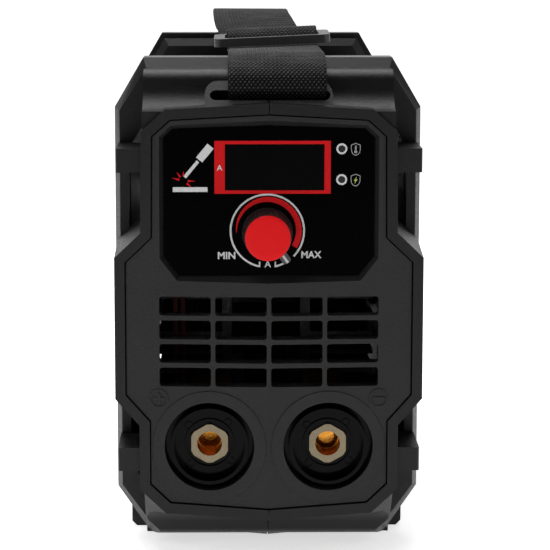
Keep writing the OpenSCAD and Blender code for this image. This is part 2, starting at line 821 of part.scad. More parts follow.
// ---------- cooling fan ----------
module fan_frame() {
    half = fan_size / 2;
    color("#1b1b1b") difference() {
        union() {
            difference() {
                along_y(fan_back - fan_depth, fan_back) translate([0, fan_z])
                    polygon(rounded_rect(fan_size, fan_size, 4));
                rod_y(0, fan_z, fan_back - fan_depth - 1, fan_back + 1, half - 2);
            }
            for (a = [45:90:315]) translate([0, front_y + fan_back - 3, fan_z]) rotate([0, a, 0])
                translate([11, 0.4, -1.5]) cube([half - 12.2, 2.2, 3]);
            rod_y(0, fan_z, fan_back - 3, fan_back, 14);
            rod_y(0, fan_z, fan_back - 18, fan_back - 1, 3.2);
        }
        for (x = [-1, 1], z = [-1, 1])
            rod_y(x * fan_hole_pitch / 2, fan_z + z * fan_hole_pitch / 2, fan_back - fan_depth - 1, fan_back + 1, 2.15);
    }
}

blades = 7;

module fan_rotor() {
    color("#242424") difference() {
        union() {
            rod_y(0, fan_z, fan_back - 24, fan_back - 4, 15.5);
            for (k = [0:blades - 1]) translate([0, front_y + fan_back - 14, fan_z]) rotate([0, 360 * k / blades, 0])
                rotate([38, 0, 0]) translate([14, -0.8, -10.5]) cube([22, 1.6, 21]);
        }
        rod_y(0, fan_z, fan_back - 22, fan_back - 3.5, 13.2);
    }
    color("#242424") difference() {
        rod_y(0, fan_z, fan_back - 22.2, fan_back - 5, 4.6);
        rod_y(0, fan_z, fan_back - 20, fan_back - 4, 3.25);
    }
}

module fan_screws() {
    color("#8c8c90") for (x = [-1, 1], z = [-1, 1]) {
        px = x * fan_hole_pitch / 2;
        pz = fan_z + z * fan_hole_pitch / 2;
        rod_y(px, pz, fan_back - fan_depth + 2, body_depth - 0.8, 2.1);
        rod_y(px, pz, body_depth - 0.8, body_depth + 1, 3.6);
    }
}

// ---------- rear panel ----------
module rear_panel() {
    color("#3a3a3b") difference() {
        at_rear() intersection() {
            along_y(-6, panel_back) polygon(inset(rim_loop, rim_w + 0.5));
            behind_fold(0.7);
        }
        // Flat landing for the fan guard bars
        along_y(body_depth - 0.8, body_depth + 8) translate([0, fan_z])
            polygon(rounded_rect(fan_size + 2, fan_size + 2, 6));
        // Guard slots clipped to the fan's circle
        along_y(body_depth - 8, body_depth + 8) intersection() {
            translate([0, fan_z]) difference() {
                circle(r = fan_size / 2 - 3);
                circle(r = 13);
            }
            for (x = [-1, 1], k = [-5:5]) translate([x * (fan_size / 4 + 1) , fan_z + 6.8 * k])
                square([fan_size / 2 - 2, 4.4], center = true);
        }
        for (x = [-1, 1], z = [-1, 1])
            rod_y(x * fan_hole_pitch / 2, fan_z + z * fan_hole_pitch / 2, body_depth - 8, body_depth + 8, 2.15);
        along_y(body_depth - 8, body_depth + 8) translate([switch_x, inlet_z]) square([22, 28], center = true);
        // Flat seats for the switch and the gland
        along_y(body_depth - 0.8, body_depth + 8) {
            translate([switch_x, inlet_z]) polygon(rounded_rect(27, 33, 2));
            translate([gland_x, inlet_z]) circle(r = 14.5);
        }
        rod_y(gland_x, inlet_z, body_depth - 8, body_depth + 8, 10.1);
    }
}

module switch_housing() {
    color("#101010") difference() {
        union() {
            along_y(body_depth - 0.8, body_depth + 1.2) translate([switch_x, inlet_z])
                polygon(rounded_rect(25, 31, 2));
            along_y(body_depth - 22, body_depth - 0.7) translate([switch_x, inlet_z])
                square([21.6, 27.6], center = true);
        }
        along_y(body_depth - 14, body_depth + 3) translate([switch_x, inlet_z]) square([17.4, 23.6], center = true);
        rod_x(switch_x - 9.9, switch_x + 9.9, rocker_axis, inlet_z, 1.55);
    }
}

// Rocker seen from the side: a shallow V with a round hub, at rest with its lower half pressed in
module switch_rocker() {
    color("#b5121b") translate([0, front_y + rocker_axis, inlet_z]) rotate([-rocker_tilt, 0, 0])
        translate([switch_x - 8.4, 0, 0]) rotate([90, 0, 90]) union() {
            linear_extrude(16.8) polygon([[-7, -6], [2.2, -11], [5.2, -11], [3.4, 0], [5.2, 11],
                                          [2.2, 11], [-7, 6]]);
            translate([0, 0, -1.3]) cylinder(h = 19.4, r = 1.5);
        }
}

module switch_terminals() {
    color("#c9b27a") for (x = [-5, 5], z = [-8, 0, 8])
        block(switch_x + x - 0.4, switch_x + x + 0.4, body_depth - 32, body_depth - 22,
              inlet_z + z - 2.4, inlet_z + z + 2.4);
}

// Cable gland in the rear panel, with the cable left out
module gland_body() {
    color("#1f1f20") difference() {
        union() {
            rod_y(gland_x, inlet_z, body_depth - 16, body_depth + 8, 10);
            hex_y(gland_x, inlet_z, body_depth - 0.8, body_depth + 4.2, 24, 0);
        }
        rod_y(gland_x, inlet_z, body_depth - 17, body_depth + 9, 7);
    }
}

module gland_cap() {
    color("#1f1f20") difference() {
        union() {
            hex_y(gland_x, inlet_z, body_depth + 4.7, body_depth + 12, 23, 0);
            translate([gland_x, front_y + body_depth + 12, inlet_z]) rotate([-90, 0, 0])
                cylinder(h = 8, r1 = 11.4, r2 = 7.6);
        }
        rod_y(gland_x, inlet_z, body_depth + 4, body_depth + 12.2, 10.05);
        rod_y(gland_x, inlet_z, body_depth + 4, body_depth + 21, 5.6);
    }
}

module gland_seal() {
    color("#0b0b0b") difference() {
        rod_y(gland_x, inlet_z, body_depth - 2, body_depth + 8, 6.95);
        rod_y(gland_x, inlet_z, body_depth - 3, body_depth + 9, cable_r);
    }
}

module gland_locknut() {
    color("#1f1f20") difference() {
        hex_y(gland_x, inlet_z, body_depth - panel_back - 4.2, body_depth - panel_back - 0.05, 25, 0);
        rod_y(gland_x, inlet_z, body_depth - 14, body_depth, 10.02);
    }
}

left_shell();
right_shell();
shell_screws();
rubber_feet();
foot_screws();
front_panel();
display_fascia();
display_window();
indicator_lights();
display_module();
control_board();
control_board_screws();
potentiometer();
potentiometer_nut();
knob_shaft();
current_knob();
knob_cap();
knob_pointer_mark();
positive_socket_body();
negative_socket_body();
positive_socket_contact();
negative_socket_contact();
socket_bolts();
positive_busbar();
negative_busbar();
carry_strap();
strap_slider();
strap_bars();
main_board();
board_screws();
left_heatsink();
right_heatsink();
power_transistors();
output_diodes();
transformer_core();
transformer_winding();
filter_capacitors();
bridge_rectifier();
start_relay();
relay_lead();
fan_frame();
fan_rotor();
fan_screws();
rear_panel();
switch_housing();
switch_rocker();
switch_terminals();
gland_body();
gland_cap();
gland_seal();
gland_locknut();
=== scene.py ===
import json
import math

import bmesh
import bpy
from mathutils import Matrix, Vector


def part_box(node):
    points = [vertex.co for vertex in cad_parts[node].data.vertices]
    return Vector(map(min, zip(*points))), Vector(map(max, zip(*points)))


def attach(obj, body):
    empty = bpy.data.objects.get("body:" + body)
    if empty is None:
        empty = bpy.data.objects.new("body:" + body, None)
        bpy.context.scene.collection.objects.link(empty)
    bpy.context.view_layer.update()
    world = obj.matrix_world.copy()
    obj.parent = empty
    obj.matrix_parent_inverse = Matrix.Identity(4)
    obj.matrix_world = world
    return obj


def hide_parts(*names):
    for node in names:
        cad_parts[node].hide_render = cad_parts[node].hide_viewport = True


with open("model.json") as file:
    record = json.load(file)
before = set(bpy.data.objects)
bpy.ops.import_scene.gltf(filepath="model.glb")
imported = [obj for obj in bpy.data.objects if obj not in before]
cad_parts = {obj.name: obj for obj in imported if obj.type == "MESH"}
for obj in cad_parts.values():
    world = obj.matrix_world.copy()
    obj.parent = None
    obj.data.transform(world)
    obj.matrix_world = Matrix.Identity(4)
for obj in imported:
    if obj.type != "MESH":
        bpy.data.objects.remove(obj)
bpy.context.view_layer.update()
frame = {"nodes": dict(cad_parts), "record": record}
nodes = frame["nodes"]

MM = 0.001
HEATSINK_DEPTH = 64         # from the front rim to the heatsinks, in millimetres
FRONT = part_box("left_heatsink")[0].y - HEATSINK_DEPTH * MM     # plane of the front rim, where depth is 0
TAU = math.tau

CAMERA_AT = (-13.7, -716.7, 235.3)          # x, depth and height in millimetres
CAMERA_PITCH, CAMERA_YAW = 7.72, 0.55       # degrees down and to the right
CAMERA_LENS, CAMERA_SHIFT = 126.8, (0.044, -0.13)
LIGHTS_AIM_AT = (0, 0, 0.1)
SKY_LIGHT, PAPER_LIGHT = 0.1, 0.62


def place(x, depth, z):
    """A point from millimetres: x to the right, depth behind the front rim, z up."""
    return Vector((x * MM, FRONT + depth * MM, z * MM))


# ---------------------------------------------------------------- camera and light
def make_camera():
    data = bpy.data.cameras.new("camera")
    cam = bpy.data.objects.new("camera", data)
    bpy.context.collection.objects.link(cam)
    cam.location = place(*CAMERA_AT)
    pitch, yaw = math.radians(CAMERA_PITCH), math.radians(CAMERA_YAW)
    cam.rotation_euler = (math.radians(90) - pitch, 0, -yaw)
    data.sensor_width = 36
    data.lens = CAMERA_LENS
    data.shift_x, data.shift_y = CAMERA_SHIFT
    data.clip_start, data.clip_end = 0.05, 20
    bpy.context.scene.camera = cam


def area_light(name, where, size, power):
    data = bpy.data.lights.new(name, "AREA")
    data.shape = "RECTANGLE"
    data.size, data.size_y = size
    data.energy = power
    lamp = bpy.data.objects.new(name, data)
    lamp.location = where
    lamp.rotation_euler = (Vector(LIGHTS_AIM_AT) - Vector(where)).to_track_quat("-Z", "Y").to_euler()
    bpy.context.collection.objects.link(lamp)


def make_studio():
    world = bpy.data.worlds.new("studio")
    world.use_nodes = True
    back = world.node_tree.nodes["Background"]
    back.inputs["Color"].default_value = (1, 1, 1, 1)
    back.inputs["Strength"].default_value = SKY_LIGHT
    bpy.context.scene.world = world
    bpy.context.scene.view_settings.view_transform = "Standard"
    area_light("top_softbox", (-0.15, 0.15, 1.2), (1.2, 0.8), 14)
    area_light("left_softbox", (-1.1, -0.9, 0.8), (0.5, 1.0), 6)
    area_light("right_softbox", (1.2, -0.7, 0.6), (0.4, 1.0), 4)
    # One sheet, curved up behind the object
    bm = bmesh.new()
    rows = []
    near, reach, bend, height, half_width = -3.0, 1.6, 0.9, 3.2, 4
    line = [(near, 0.0), (reach, 0.0)]
    line += [(reach + bend * math.sin(a), bend * (1 - math.cos(a)))
             for a in [math.radians(9 * k) for k in range(1, 11)]]
    line += [(reach + bend, height)]
    for y, z in line:
        rows.append([bm.verts.new((x, y, z)) for x in (-half_width, half_width)])
    for a, b in zip(rows, rows[1:]):
        bm.faces.new((a[0], a[1], b[1], b[0]))
    sheet = mesh_object("paper_sweep", bm, [paper_material()], smooth=True)


# ---------------------------------------------------------------- materials
class Nodes:
    """Short-hand for building a node tree."""

    def __init__(self, name):
        self.mat = bpy.data.materials.new(name)
        self.mat.use_nodes = True
        self.tree = self.mat.node_tree
        self.shader = self.tree.nodes["Principled BSDF"]
        self.coords = self.add("ShaderNodeTexCoord").outputs["Object"]

    def add(self, kind, **values):
        node = self.tree.nodes.new(kind)
        for key, value in values.items():
            if hasattr(node, key):
                setattr(node, key, value)
            else:
                node.inputs[key].default_value = value
        return node

    def link(self, a, b):
        self.tree.links.new(a, b)

    def noise(self, scale, detail=2.0, rough=0.5, stretch=None):
        n = self.add("ShaderNodeTexNoise")
        n.inputs["Scale"].default_value = scale
        n.inputs["Detail"].default_value = detail
        n.inputs["Roughness"].default_value = rough
        vector = self.coords
        if stretch:
            m = self.add("ShaderNodeMapping")
            m.inputs["Scale"].default_value = stretch
            self.link(vector, m.inputs["Vector"])
            vector = m.outputs["Vector"]
        self.link(vector, n.inputs["Vector"])
        return n.outputs["Fac"]

    def ramp(self, fac, stops):
        r = self.add("ShaderNodeValToRGB")
        while len(r.color_ramp.elements) < len(stops):
            r.color_ramp.elements.new(0.5)
        for element, (at, colour) in zip(r.color_ramp.elements, stops):
            element.position = at
            element.color = (*colour, 1)
        self.link(fac, r.inputs["Fac"])
        return r.outputs["Color"]

    def spread(self, fac, low, high, from_low=0.3, from_high=0.7):
        m = self.add("ShaderNodeMapRange")
        for key, value in (("From Min", from_low), ("From Max", from_high),
                           ("To Min", low), ("To Max", high)):
            m.inputs[key].default_value = value
        self.link(fac, m.inputs["Value"])
        return m.outputs["Result"]

    def bump(self, height, distance, normal=None):
        b = self.add("ShaderNodeBump")
        b.inputs["Strength"].default_value = 1.0
        b.inputs["Distance"].default_value = distance
        self.link(height, b.inputs["Height"])
        if normal:
            self.link(normal, b.inputs["Normal"])
        self.link(b.outputs["Normal"], self.shader.inputs["Normal"])
        return b.outputs["Normal"]

    def colour(self, out):
        self.link(out, self.shader.inputs["Base Color"])

    def rough(self, out):
        self.link(out, self.shader.inputs["Roughness"])

    def set(self, **values):
        for key, value in values.items():
            self.shader.inputs[key.replace("_", " ")].default_value = value


def tint(colour, k):
    """The colour made k times as bright."""
    return tuple(min(1.0, c * k) for c in colour)


def moulded(name, colour, rough=0.5, depth=0.00005, vary=0.16, specular=0.5, fine=3600):
    """Moulded plastic: fine spark-eroded grain, slow blotches in the colour and uneven sheen."""
    n = Nodes(name)
    small = n.noise(fine, 2, 0.6)
    slow = n.noise(24, 3, 0.55)
    mid = n.noise(900, 2, 0.6)
    mixed = n.add("ShaderNodeMath", operation="ADD")
    n.link(small, mixed.inputs[0])
    n.link(slow, mixed.inputs[1])
    halved = n.add("ShaderNodeMath", operation="MULTIPLY")
    halved.inputs[1].default_value = 0.5
    n.link(mixed.outputs[0], halved.inputs[0])
    n.colour(n.ramp(halved.outputs[0], [(0.3, tint(colour, 1 - vary)), (0.7, tint(colour, 1 + vary))]))
    n.rough(n.spread(mid, rough - 0.07, rough + 0.07))
    first = n.bump(mid, depth * 0.6)
    n.bump(small, depth, normal=first)
    n.set(Specular_IOR_Level=specular)
    return n.mat


def gloss(name, colour, rough, specular=0.5, vary=0.2):
    """Polished plastic: nearly flat, with faint polishing marks and dust in the sheen."""
    n = Nodes(name)
    slow = n.noise(40, 3, 0.6)
    dust = n.noise(2600, 1, 0.5)
    n.colour(n.ramp(slow, [(0.3, tint(colour, 1 - vary)), (0.7, tint(colour, 1 + vary))]))
    n.rough(n.spread(dust, rough * 0.7, rough * 1.5))
    n.bump(slow, 0.00003)
    n.set(Specular_IOR_Level=specular)
    return n.mat


def metal(name, colour, rough, stretch=(1, 1, 1), scale=900, depth=0.00002):
    """Metal with machining lines that run along the axis with the small stretch."""
    n = Nodes(name)
    lines = n.noise(scale, 3, 0.6, stretch=stretch)
    slow = n.noise(90, 3, 0.6)
    n.colour(n.ramp(slow, [(0.25, tint(colour, 0.9)), (0.75, tint(colour, 1.1))]))
    n.rough(n.spread(lines, rough * 0.7, rough * 1.4))
    n.bump(lines, depth)
    n.set(Metallic=1.0)
    return n.mat


def rubber(name, colour):
    """Dull rubber with a fine grain."""
    n = Nodes(name)
    small = n.noise(1800, 3, 0.65)
    slow = n.noise(60, 3, 0.5)
    n.colour(n.ramp(slow, [(0.3, tint(colour, 0.75)), (0.7, tint(colour, 1.35))]))
    n.rough(n.spread(small, 0.6, 0.85))
    n.bump(small, 0.00008)
    n.set(Specular_IOR_Level=0.35)
    return n.mat


def laminate(name, colour):
    """Circuit board: lacquer over copper tracks."""
    n = Nodes(name)
    track = n.add("ShaderNodeTexVoronoi", feature="DISTANCE_TO_EDGE", distance="MANHATTAN")
    track.inputs["Scale"].default_value = 160
    n.link(n.coords, track.inputs["Vector"])
    n.colour(n.ramp(track.outputs["Distance"], [(0.02, tint(colour, 2.1)), (0.05, colour)]))
    small = n.noise(500, 2)
    n.rough(n.spread(small, 0.28, 0.42))
    n.bump(track.outputs["Distance"], 0.00004)
    return n.mat


def woven(name):
    """Black polypropylene webbing; the weave itself is in the mesh, this adds the fibres and a painted
    highlight on the raised tips of the weave.
    """
    n = Nodes(name)
    fibre = n.noise(2600, 3, 0.7, stretch=(1.0, 0.35, 0.35))
    slow = n.noise(120, 3, 0.6)
    # painted highlight: where the weave stands highest the colour turns far brighter, in place of the sheen
    # on the raised floats
    tip = n.add("ShaderNodeAttribute", attribute_name="weave").outputs["Fac"]
    ground = n.ramp(fibre, [(0.3, (0.0005, 0.0005, 0.0005)), (0.72, (0.002, 0.002, 0.002))])
    bright = n.ramp(fibre, [(0.3, (0.05, 0.05, 0.05)), (0.72, (0.2, 0.2, 0.205))])
    mix = n.add("ShaderNodeMix", data_type="RGBA")
    n.link(n.spread(tip, 0.0, 1.0, 0.8, 1.0), mix.inputs["Factor"])
    n.link(ground, mix.inputs[6])
    n.link(bright, mix.inputs[7])
    n.colour(mix.outputs[2])
    n.rough(n.spread(slow, 0.42, 0.6))
    n.bump(fibre, 0.00008)
    n.set(Specular_IOR_Level=0.12)
    return n.mat


def printed(name, colour):
    """Screen print: slightly uneven ink."""
    n = Nodes(name)
    ink = n.noise(1500, 2, 0.6)
    n.colour(n.ramp(ink, [(0.3, tint(colour, 0.9)), (0.7, tint(colour, 1.06))]))
    n.rough(n.spread(ink, 0.3, 0.43))
    n.bump(ink, 0.00001)
    n.set(Specular_IOR_Level=0.06)
    return n.mat


def paper_material():
    """White paper that gives off a little light, so that the floor stays pale."""
    n = Nodes("white_paper")
    fibre = n.noise(300, 3)
    n.colour(n.ramp(fibre, [(0.3, (0.90, 0.90, 0.90)), (0.7, (0.94, 0.94, 0.94))]))
    n.rough(n.spread(fibre, 0.85, 0.95))
    n.set(Specular_IOR_Level=0.1, Emission_Color=(1, 1, 1, 1), Emission_Strength=PAPER_LIGHT)
    return n.mat


# ---------------------------------------------------------------- mesh helpers
def mesh_object(name, bm, mats, smooth=False, sharp=None):
    """A new object from bm; sharp is the angle in degrees above which an edge stays hard."""
    data = bpy.data.meshes.new(name)
    bmesh.ops.recalc_face_normals(bm, faces=bm.faces)
    bm.to_mesh(data)
    bm.free()
    for m in mats:
        data.materials.append(m)
    if smooth or sharp:
        for p in data.polygons:
            p.use_smooth = True
    if sharp:
        data.set_sharp_from_angle(angle=math.radians(sharp))
    obj = bpy.data.objects.new(name, data)
    bpy.context.collection.objects.link(obj)
    return obj


def on(obj, body):
    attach(obj, body)


def refined(node, name, mat, width, segments=2, outer=None):
    """The CAD node's own shape with its edges softened by width mm, in a piece that stands for it.

    outer is (x, z, radius, material): faces that reach further than radius from the line along Y
    through (x, z), and the front faces, take that material."""
    bm = bmesh.new()
    bm.from_mesh(nodes[node].data)
    bmesh.ops.remove_doubles(bm, verts=bm.verts, dist=0.01 * MM)
    bmesh.ops.dissolve_limit(bm, angle_limit=math.radians(0.6), verts=bm.verts, edges=bm.edges)
    for f in bm.faces:
        f.smooth = True
    if outer:
        for f in bm.faces:
            c = f.calc_center_median()
            reach = max(math.hypot(v.co.x - outer[0] * MM, v.co.z - outer[1] * MM) for v in f.verts)
            front = f.normal.y < -0.5 and c.y < FRONT + 5 * MM
            f.material_index = 1 if reach > outer[2] * MM or front else 0
    obj = mesh_object(name, bm, [mat, outer[3]] if outer else [mat], smooth=True)
    bevel = obj.modifiers.new("edges", "BEVEL")
    bevel.width = width * MM
    bevel.segments = segments
    bevel.limit_method = "ANGLE"
    bevel.angle_limit = math.radians(28)
    bevel.harden_normals = False
    bevel.miter_outer = "MITER_ARC"
    bevel.use_clamp_overlap = True
    shade = obj.modifiers.new("shade", "WEIGHTED_NORMAL")
    shade.keep_sharp = True
    shade.weight = 80
    on(obj, "case")
    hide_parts(node)


def prism(bm, points, depth0, depth1):
    """A closed slab from an outline of (x, z) points in millimetres."""
    front = [bm.verts.new(place(x, depth0, z)) for x, z in points]
    back = [bm.verts.new(place(x, depth1, z)) for x, z in points]
    n = len(points)
    bm.faces.new(front)
    bm.faces.new(back[::-1])
    for i in range(n):
        bm.faces.new((front[i], back[i], back[(i + 1) % n], front[(i + 1) % n]))


def band(bm, inner, outer, depth0, depth1, closed=False):
    """A closed slab between two rows of (x, z) points of equal number."""
    rows = [[bm.verts.new(place(x, d, z)) for x, z in line]
            for d in (depth0, depth1) for line in (inner, outer)]
    n = len(inner)
    for i in range(n if closed else n - 1):
        j = (i + 1) % n
        for a, b in ((0, 1), (1, 3), (3, 2), (2, 0)):
            bm.faces.new((rows[a][i], rows[a][j], rows[b][j], rows[b][i]))
    if not closed:
        for i in (0, n - 1):
            bm.faces.new([rows[k][i] for k in (0, 1, 3, 2)])


def polar(cx, cz, r, angle):
    """Point at an angle from straight down, clockwise as seen from the front, in degrees."""
    a = math.radians(angle)
    return cx - r * math.sin(a), cz - r * math.cos(a)


def arc(cx, cz, radius, start, stop, steps):
    """Points on an arc; radius may change along it."""
    out = []
    for k in range(steps + 1):
        t = k / steps
        r = radius(t) if callable(radius) else radius
        out.append(polar(cx, cz, r, start + (stop - start) * t))
    return out


def lathe(bm, axis, profile, steps, radius_of=None):
    """Revolves (radius, depth) pairs about a line along Y through axis (x, z), in millimetres."""
    rings = []
    for r, d in profile:
        if r == 0:
            rings.append([bm.verts.new(place(axis[0], d, axis[1]))])
            continue
        ring = []
        for k in range(steps):
            a = TAU * k / steps
            rr = radius_of(r, d, k) if radius_of else r
            ring.append(bm.verts.new(place(axis[0] + rr * math.sin(a), d, axis[1] + rr * math.cos(a))))
        rings.append(ring)
    for a, b in zip(rings, rings[1:]):
        for k in range(steps):
            j = (k + 1) % steps
            if len(a) == 1:
                bm.faces.new((a[0], b[j], b[k]))
            elif len(b) == 1:
                bm.faces.new((a[k], a[j], b[0]))
            else:
                bm.faces.new((a[k], a[j], b[j], b[k]))


def lettering(name, words, x, z, height, depth, width=None, bold=0.04):
    """Words in the white print centred on (x, z), their capitals height tall, in millimetres."""
    curve = bpy.data.curves.new(name, "FONT")
    curve.body = words
    curve.align_x, curve.align_y = "CENTER", "CENTER"
    curve.size = height * MM / 0.7
    curve.offset = bold * MM
    curve.extrude = 0.03 * MM
    temp = bpy.data.objects.new(name + "_line", curve)
    bpy.context.collection.objects.link(temp)
    bpy.context.view_layer.update()
    data = bpy.data.meshes.new_from_object(temp.evaluated_get(bpy.context.evaluated_depsgraph_get()))
    bpy.data.objects.remove(temp)
    xs = [v.co.x for v in data.vertices]
    ys = [v.co.y for v in data.vertices]
    mid = Vector(((max(xs) + min(xs)) / 2, (max(ys) + min(ys)) / 2, 0))
    k = width * MM / (max(xs) - min(xs)) if width else 1.0
    turn = Matrix.Rotation(math.radians(90), 4, "X")
    for v in data.vertices:
        p = v.co - mid
        tall = p.y * (height * MM / (max(ys) - min(ys)))
        v.co = turn @ Vector((p.x * k, tall, p.z)) + place(x, depth, z)
    data.materials.clear()
    data.materials.append(MATS["mark_white"])
    data.name = name
    obj = bpy.data.objects.new(name, data)
    bpy.context.collection.objects.link(obj)
    on(obj, "case")


# ---------------------------------------------------------------- strap
# Depth, height, sideways shift, then the turn in plan and the sideways tip in degrees
STRAP_ROUTE = [
    (18.8, 167, 3.2, 0, 0), (16, 169.7, 3.2, 0, 0), (13, 172.6, 3.2, 0, 0), (10, 175.5, 3.2, 0, 0),
    (7.3, 178.1, 3.2, 0, 0), (5.9, 180, 3.2, 0, 0), (5.8, 182.4, 3.2, 0, 0),
    (7.6, 185.8, 3.2, 0, 0), (12, 189.2, 3.2, 0, 0), (18.5, 191.4, 3.2, 0, 0),
    (26, 192.2, 3.2, 0, 0), (34, 192.3, 3.2, 0, 0), (44, 192.2, 3.2, 0, 0), (60, 192, 3.1, 0, 1),
    (72, 191.8, 2.9, 0, 2.2), (77.3, 191.7, 2.8, 0, 2.6), (80.5, 191.8, 2.7, 0, 2.6),
    (82.8, 192.9, 2.7, 0, 2.6), (85.2, 196.6, 2.7, 0, 2.6), (87.4, 198.4, 2.7, 0, 2.6),
    (89.6, 199.1, 2.7, 0, 2.6), (91.8, 198.6, 2.6, 0, 2.6), (94, 197, 2.5, 0, 2.6),
    (96.8, 193.5, 2.4, 0, 2.6), (99.1, 192.4, 2.2, 1, 2.6), (102.3, 192.2, 1.8, 4, 2.4),
    (106, 192.6, 1, 8, 2), (112, 194.6, -0.8, 16, 1.2), (122, 198, -2.6, 21, 0.4),
    (140, 201.8, -4.4, 24, 0), (162, 203.6, -5.2, 25, -1), (184, 203.6, -5.2, 22, -1),
    (202, 201.6, -4.8, 16, 0), (216, 197.6, -4, 9, 0), (226, 194.4, -3.2, 3, 0),
    (234, 192.6, -2.6, 0, 0), (242, 192.2, -2.2, 0, 0), (249.5, 191.4, -2.2, 0, 0),
    (256, 189.2, -2.2, 0, 0), (260.4, 185.8, -2.2, 0, 0), (262.2, 182.4, -2.2, 0, 0),
    (262.1, 180, -2.2, 0, 0), (260.7, 178.1, -2.2, 0, 0), (258, 175.5, -2.2, 0, 0),
    (255, 172.6, -2.2, 0, 0), (252, 169.7, -2.2, 0, 0), (249.2, 167, -2.2, 0, 0),
]
STRAP_WIDTH, STRAP_THICK = 37.0, 1.6
WEAVE_PITCH, WEAVE_ROW, WEAVE_RELIEF = 1.62, 0.95, 0.62
WEAVE_BACK = 0.575          # how far the pattern is shifted along on the back of the webbing


def smooth_line(points, step):
    """Catmull-Rom line through the points, resampled evenly."""
    dense = []
    pts = [points[0]] + points + [points[-1]]
    for p0, p1, p2, p3 in zip(pts, pts[1:], pts[2:], pts[3:]):
        for k in range(12):
            t = k / 12
            dense.append(tuple(
                0.5 * (2 * b + (c - a) * t + (2 * a - 5 * b + 4 * c - d) * t * t
                       + (3 * b - a - 3 * c + d) * t ** 3)
                for a, b, c, d in zip(p0, p1, p2, p3)))
    dense.append(points[-1])
    total = [0.0]
    for a, b in zip(dense, dense[1:]):
        total.append(total[-1] + math.dist(a[:2], b[:2]))
    out, i = [], 0
    count = round(total[-1] / step)
    for k in range(count + 1):
        s = total[-1] * k / count
        while i < len(total) - 2 and total[i + 1] < s:
            i += 1
        t = (s - total[i]) / max(total[i + 1] - total[i], 1e-9)
        out.append(tuple(a + (b - a) * t for a, b in zip(dense[i], dense[i + 1])))
    return out, total[-1]


def weave_height(u, v):
    """Raised floats of a heavy herringbone, 0 to 1, at u across and v along, in millimetres."""
    pitch, row = WEAVE_PITCH, WEAVE_ROW
    line = math.floor(v / row)
    best = 0.0
    for k in (line - 1, line, line + 1):
        dv = (v - (k + 0.5) * row) / (0.62 * row)
        lean = 0.35 if k % 2 else -0.35
        shift = 0.5 * pitch * (k % 2)
        du = (u - shift + lean * dv + pitch / 2) % pitch - pitch / 2
        du /= 0.46 * pitch
        q = 1 - du * du - dv * dv
        if q > best:
            best = q
    return best ** 0.5 if best > 0 else 0.0


def make_strap():
    """The webbing as one closed mesh with its weave in the surface; gives it and its flat length in mm."""
    step = 0.42
    line, length = smooth_line(STRAP_ROUTE, step)
    across = round(STRAP_WIDTH / (0.4))
    verts, faces, heights = [], [], []
    n = len(line)
    for side in (1, -1):
        for i, (d, z, shift, turn, tip) in enumerate(line):
            a, b = line[max(i - 1, 0)], line[min(i + 1, n - 1)]
            turn, tip = math.radians(turn), math.radians(tip)
            wide = Vector((math.cos(turn) * math.cos(tip), math.sin(turn) * math.cos(tip), math.sin(tip)))
            up = wide.cross(Vector((0, b[0] - a[0], b[1] - a[1]))).normalized()
            v = length * i / (n - 1)
            for k in range(across + 1):
                x = STRAP_WIDTH * (k / across - 0.5)
                edge = min(1.0, (STRAP_WIDTH / 2 - abs(x)) / 0.6)
                h = weave_height(x + 30, v + (WEAVE_BACK if side < 0 else 0))
                half = STRAP_THICK / 2 - WEAVE_RELIEF + WEAVE_RELIEF * h
                out = side * half * math.sqrt(max(edge, 0.15))
                verts.append(place(shift, d, z) + (wide * x + up * out) * MM)
                heights.append(h)
    row = across + 1
    base = n * row
    for i in range(n - 1):
        for k in range(across):
            a = i * row + k
            faces.append((a, a + 1, a + 1 + row, a + row))
            faces.append((base + a, base + a + row, base + a + 1 + row, base + a + 1))
        for k in (0, across):
            a = i * row + k
            quad = (a, a + row, base + a + row, base + a)
            faces.append(quad if k == 0 else quad[::-1])
    for i in (0, n - 1):
        for k in range(across):
            a = i * row + k
            quad = (a, base + a, base + a + 1, a + 1)
            faces.append(quad if i == 0 else quad[::-1])
    data = bpy.data.meshes.new("strap_webbing")
    data.from_pydata(verts, [], faces)
    # the weave heights also drive the painted highlight on the raised tips in the webbing material
    layer = data.attributes.new("weave", "FLOAT", "POINT")
    layer.data.foreach_set("value", heights)
    data.materials.append(MATS["webbing"])
    for p in data.polygons:
        p.use_smooth = True
    data.update()
    obj = bpy.data.objects.new("strap_webbing", data)
    bpy.context.collection.objects.link(obj)
    on(obj, "case")
    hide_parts("carry_strap")
    return obj, length


# ---------------------------------------------------------------- fascia print
FASCIA = 2.4                # depth of the fascia's face
PRINT = FASCIA - 0.05       # depth of the printed layer's face
UNDER = FASCIA + 0.02       # the print reaches this deep, just inside the fascia
DIAL = (-0.6, 127.4)        # centre of the printed scale
DIAL_AXIS = (-0.6, 126.8)   # the axis that the dial turns on


def frame_piece(name, outer, inner, mat):
    """A rectangular frame; outer and inner are (x0, x1, z0, z1)."""
    bm = bmesh.new()
    corners = [[(r[0], r[2]), (r[1], r[2]), (r[1], r[3]), (r[0], r[3])] for r in (inner, outer)]
    band(bm, corners[0], corners[1], PRINT, UNDER, closed=True)
    on(mesh_object(name, bm, [mat]), "case")


